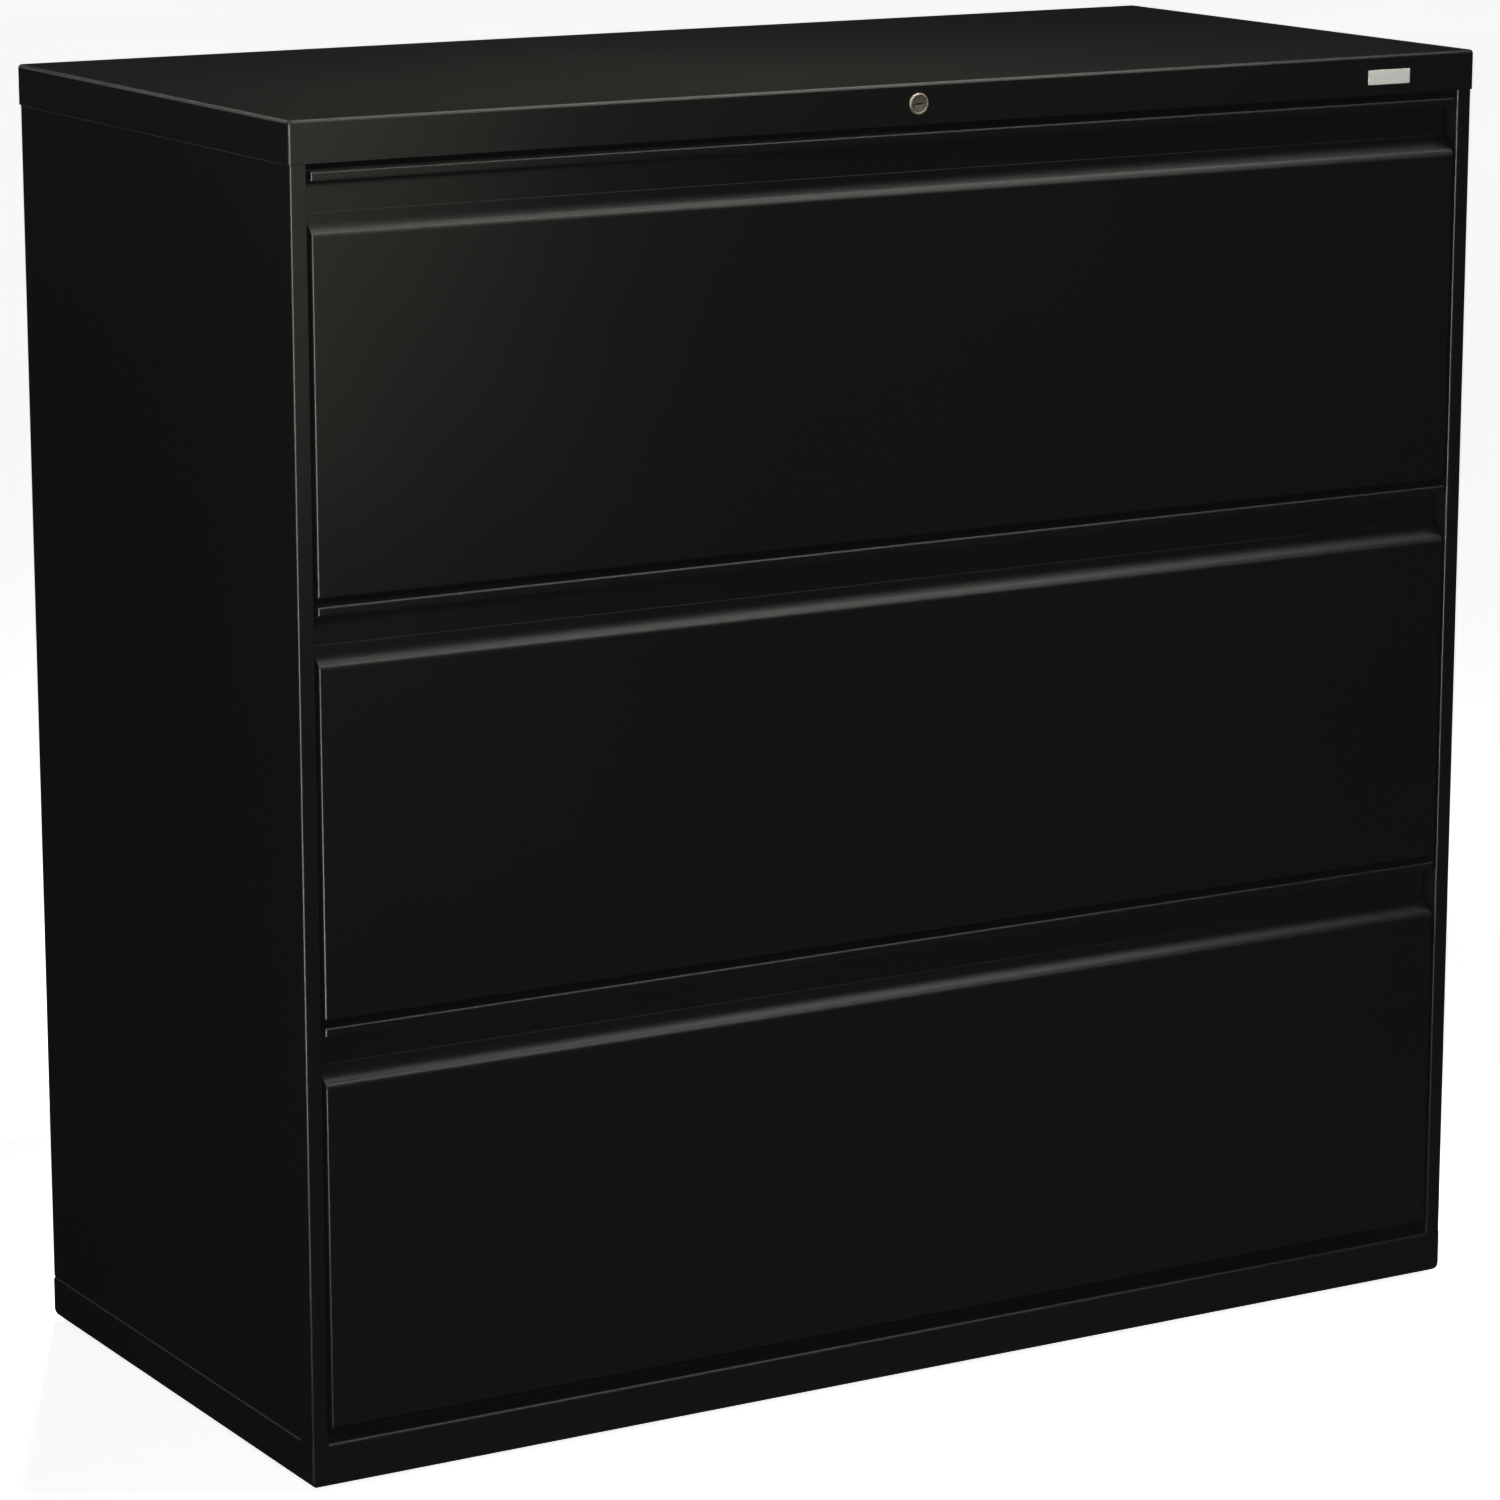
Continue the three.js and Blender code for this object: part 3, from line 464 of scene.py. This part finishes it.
def turn_angles(sides):
    return [2 * math.pi * i / sides for i in range(sides)]


def quarter(steps=6):
    return [math.pi / 2 * i / steps for i in range(steps + 1)]


def round_loop(x, z, radius, y, angles):
    return [(x + radius * math.cos(a), y, z + radius * math.sin(a)) for a in angles]


def slot_loop(x, z, length, width, y, angles):
    points = []
    for a in angles:
        to_end = length / 2 / max(abs(math.cos(a)), TINY)
        to_side = width / 2 / max(abs(math.sin(a)), TINY)
        reach = min(to_end, to_side)
        points.append((x + reach * math.cos(a), y, z + reach * math.sin(a)))
    return points


def lock_housing(materials, bends):
    low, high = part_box("lock_housing")
    plug_low, plug_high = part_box("lock_plug")
    x, z = (low[0] + high[0]) / 2, (low[2] + high[2]) / 2
    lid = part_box("top_cover")[0][1]
    outer = (high[0] - low[0]) / 2
    bore = (plug_high[0] - plug_low[0]) / 2 + LOCK_PLAY
    front, back = low[1], high[1]
    profile = [(bore, back), (bore + BARREL_WALL, back), (bore + BARREL_WALL, lid), (outer, lid)]
    for a in quarter():
        rise = RIM_OUTER_ROUND * (1 - math.sin(a))
        profile.append((outer - RIM_OUTER_ROUND * (1 - math.cos(a)), front + rise))
    for a in quarter():
        profile.append((outer - RIM_WIDTH - RIM_ROUND * math.sin(a), front + RIM_ROUND * (1 - math.cos(a))))
    profile.append((bore, plug_low[1]))
    angles = turn_angles(ROUND_SIDES)
    housing = make_piece("lock_rim", [round_loop(x, z, r, y, angles) for r, y in profile], ring=True)
    finish_piece(housing, "case", "antique_nickel", materials, bends, ["lock_housing"])


def lock_plug(materials, bends):
    low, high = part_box("lock_plug")
    x, z = (low[0] + high[0]) / 2, (low[2] + high[2]) / 2
    radius = (high[0] - low[0]) / 2
    face, end = low[1], high[1]
    corner = math.atan2(KEYWAY_WIDTH, KEYWAY_LENGTH)
    corners = [corner, math.pi - corner, math.pi + corner, 2 * math.pi - corner]
    angles = sorted(turn_angles(ROUND_SIDES) + corners)
    edge = 2 * PLUG_CHAMFER
    loops = [
        slot_loop(x, z, KEYWAY_LENGTH, KEYWAY_WIDTH, face + KEYWAY_DEPTH, angles),
        slot_loop(x, z, KEYWAY_LENGTH, KEYWAY_WIDTH, face + PLUG_CHAMFER, angles),
        slot_loop(x, z, KEYWAY_LENGTH + edge, KEYWAY_WIDTH + edge, face, angles),
        round_loop(x, z, radius - PLUG_CHAMFER, face, angles),
        round_loop(x, z, radius, face + PLUG_CHAMFER, angles),
        round_loop(x, z, radius, end - PLUG_TAIL_LENGTH, angles),
        round_loop(x, z, PLUG_TAIL_RADIUS, end - PLUG_TAIL_LENGTH, angles),
        round_loop(x, z, PLUG_TAIL_RADIUS, end, angles),
    ]
    plug = make_piece("lock_keyway", loops)
    finish_piece(plug, "lock_plug", "antique_nickel", materials, bends, ["lock_plug"])


def flat_loop(x, y, radius, z, angles):
    return [(x + radius * math.cos(a), y + radius * math.sin(a), z) for a in angles]


def thread_loop(x, y, z, start, angles):
    points = []
    for a in angles:
        phase = ((z - start) / THREAD_PITCH - a / (2 * math.pi)) % 1.0
        radius = STEM_RADIUS - THREAD_DEPTH * abs(2 * phase - 1)
        points.append((x + radius * math.cos(a), y + radius * math.sin(a), z))
    return points


def levelling_glide(name, materials, bends):
    low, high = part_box(name)
    x, y = (low[0] + high[0]) / 2, (low[1] + high[1]) / 2
    foot = (high[0] - low[0]) / 2
    angles = turn_angles(THREAD_SIDES)
    loops = [flat_loop(x, y, foot - FOOT_ROUND, low[2], angles)]
    for a in quarter():
        rise = low[2] + FOOT_ROUND * math.sin(a)
        loops.append(flat_loop(x, y, foot - FOOT_ROUND * math.cos(a), rise, angles))
    shoulder = low[2] + FOOT_HEIGHT
    loops.append(flat_loop(x, y, foot, shoulder - FOOT_DOME, angles))
    loops.append(flat_loop(x, y, STEM_RADIUS + FOOT_ROUND, shoulder, angles))
    loops.append(flat_loop(x, y, STEM_RADIUS - THREAD_DEPTH, shoulder, angles))
    rows = int((high[2] - shoulder) / THREAD_PITCH * THREAD_ROWS)
    for row in range(1, rows):
        height = shoulder + row * THREAD_PITCH / THREAD_ROWS
        loops.append(thread_loop(x, y, height, shoulder, angles))
    loops.append(flat_loop(x, y, STEM_RADIUS - THREAD_DEPTH, high[2], angles))
    glide = make_piece(name + "_thread", loops)
    finish_piece(glide, name, "glide", materials, bends, [name])


def join_pieces(name, parts):
    form = bmesh.new()
    for part in parts:
        form.from_mesh(part.data)
        bpy.data.objects.remove(part)
    mesh = bpy.data.meshes.new(name)
    form.to_mesh(mesh)
    form.free()
    obj = bpy.data.objects.new(name, mesh)
    bpy.context.scene.collection.objects.link(obj)
    return obj


def dome(name, place, outward, radius, height):
    across = Vector((0.0, 0.0, 1.0))
    along = across.cross(outward)
    loops = []
    for a in quarter():
        rise = Vector(place) + Vector(outward) * height * math.sin(a)
        reach = radius * max(math.cos(a), HEAD_TIP)
        ring = [along * math.cos(t) + across * math.sin(t) for t in turn_angles(HEAD_SIDES)]
        loops.append([rise + reach * point for point in ring])
    return make_piece(name, loops)


def slide_rivets(drawer, side, materials, bends):
    low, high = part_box(f"{drawer}_{side}_drawer_slide")
    inward = 1.0 if side == "left" else -1.0
    x = high[0] + RIVET_SEAT if side == "left" else low[0] - RIVET_SEAT
    z = (low[2] + high[2]) / 2
    length = high[1] - low[1]
    domes = []
    for i in range(RIVETS_PER_SLIDE):
        y = low[1] + length * (i + 0.5) / RIVETS_PER_SLIDE
        domes.append(dome("rivet", (x, y, z), (inward, 0.0, 0.0), RIVET_RADIUS, RIVET_HEIGHT))
    rivets = join_pieces(f"{drawer}_{side}_rivets", domes)
    finish_piece(rivets, drawer, "inner_paint", materials, bends)


def back_screws(side, materials, bends):
    low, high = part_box(f"{side}_side_panel")
    x = low[0] + SCREW_INSET if side == "left" else high[0] - SCREW_INSET
    domes = []
    for i in range(SCREWS_PER_SIDE):
        z = low[2] + (high[2] - low[2]) * (i + 0.5) / SCREWS_PER_SIDE
        domes.append(dome("screw", (x, high[1], z), (0.0, 1.0, 0.0), SCREW_RADIUS, SCREW_HEIGHT))
    screws = join_pieces(f"{side}_back_screws", domes)
    finish_piece(screws, "case", "zinc_steel", materials, bends)


def flange_bead(side, materials, bends):
    lid_low, lid_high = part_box("top_cover")
    panel_low, panel_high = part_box(f"{side}_side_panel")
    edge, wall = (lid_low[0], panel_low[0]) if side == "left" else (lid_high[0], panel_high[0])
    front, back = panel_low[1], panel_high[1]
    under = lid_low[2]
    loops = []
    rows = ((front, BEAD_END), (front + BEAD_TAPER, 1.0), (back - BEAD_TAPER, 1.0), (back, BEAD_END))
    for y, size in rows:
        loop = [(wall, y, under)]
        for a in quarter():
            reach = (edge - wall) * size * (1 - math.sin(a))
            loop.append((wall + reach, y, under - BEAD_DROP * size * (1 - math.cos(a))))
        loops.append(loop)
    highlight_bead = make_piece(f"{side}_flange_bead", loops)
    # The bead is painted lighter than the cabinet as a painted highlight of the seam under the lid
    finish_piece(highlight_bead, "case", "black_paint", materials, bends, finish="highlight_bead")


def add_pieces(materials, bends):
    lock_housing(materials, bends)
    lock_plug(materials, bends)
    for name in frame["nodes"]:
        if name.endswith("_glide"):
            levelling_glide(name, materials, bends)
    for side in ("left", "right"):
        back_screws(side, materials, bends)
        flange_bead(side, materials, bends)
        for drawer in DRAWERS:
            slide_rivets(drawer, side, materials, bends)


def floor_finish():
    material, tree, shader = start_material("floor", FLOOR_COLOUR, FLOOR_ROUGHNESS, specular=0.0)
    dark = [FLOOR_SHADE * c for c in FLOOR_COLOUR]
    shade = tint(tree, noise(tree, FLOOR_GRAIN), dark, FLOOR_COLOUR)
    tree.links.new(shade, shader.inputs["Base Color"])
    tree.links.new(shade, shader.inputs["Emission Color"])
    shader.inputs["Emission Strength"].default_value = FLOOR_GLOW
    return material


def stage_sheet(name, points, faces, material):
    mesh = bpy.data.meshes.new(name)
    mesh.from_pydata(points, [], faces)
    mesh.materials.append(material)
    sheet = bpy.data.objects.new(name, mesh)
    bpy.context.scene.collection.objects.link(sheet)
    sheet.visible_glossy = False
    return sheet


# The floor lights the cabinet, and the backdrop is only seen
def lay_floor():
    material = floor_finish()
    half = FLOOR_HALF
    ground = [(-half, -half, 0.0), (half, -half, 0.0), (half, half, 0.0), (-half, half, 0.0)]
    upper = [(x, y, half) for x, y, _ in ground]
    stage_sheet("floor", ground, [(0, 1, 2, 3)], material)
    walls = [(i, (i + 1) % 4, (i + 1) % 4 + 4, i + 4) for i in range(4)]
    backdrop = stage_sheet("backdrop", ground + upper, walls, material)
    backdrop.visible_diffuse = False
    backdrop.visible_shadow = False


set_camera()
set_light()
lay_floor()
materials = make_materials()
bends = smooth_bends()
dress_nodes(materials, bends)
add_pieces(materials, bends)
